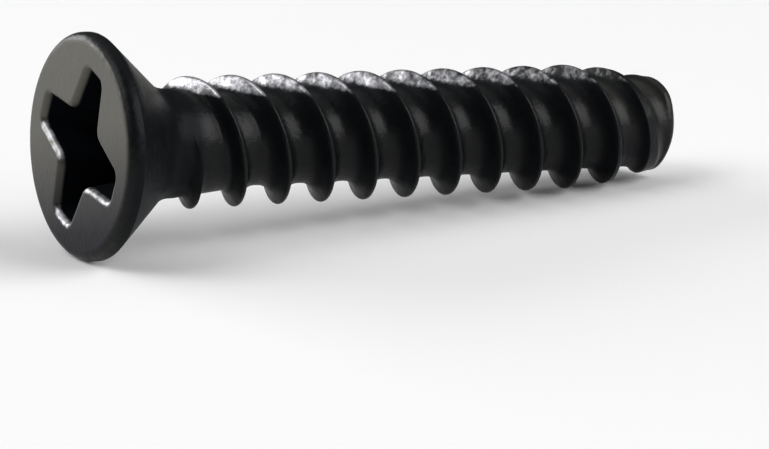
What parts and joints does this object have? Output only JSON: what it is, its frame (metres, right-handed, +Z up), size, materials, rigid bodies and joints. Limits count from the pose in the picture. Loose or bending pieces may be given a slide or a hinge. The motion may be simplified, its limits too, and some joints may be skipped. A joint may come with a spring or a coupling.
{
  "type": "thread rolling screw",
  "caption": "Black countersunk thread rolling screw with a cross recess, a smooth neck, a coarse twin-start right-hand thread and a blunt end, lying on its side.",
  "frame": {"origin": "on the surface that the screw lies on, under the centre of its box", "axes": "+X along the screw from its head to its end, drooping towards the end because the head is wider than the thread; +Z up; right-handed"},
  "size_m": [0.016, 0.005, 0.0051],
  "materials": {
    "black_steel": "black oxide on heat-treated steel, satin and faintly oily"
  },
  "bodies": {
    "root": {"screw": "black_steel"}
  },
  "joints": []
}
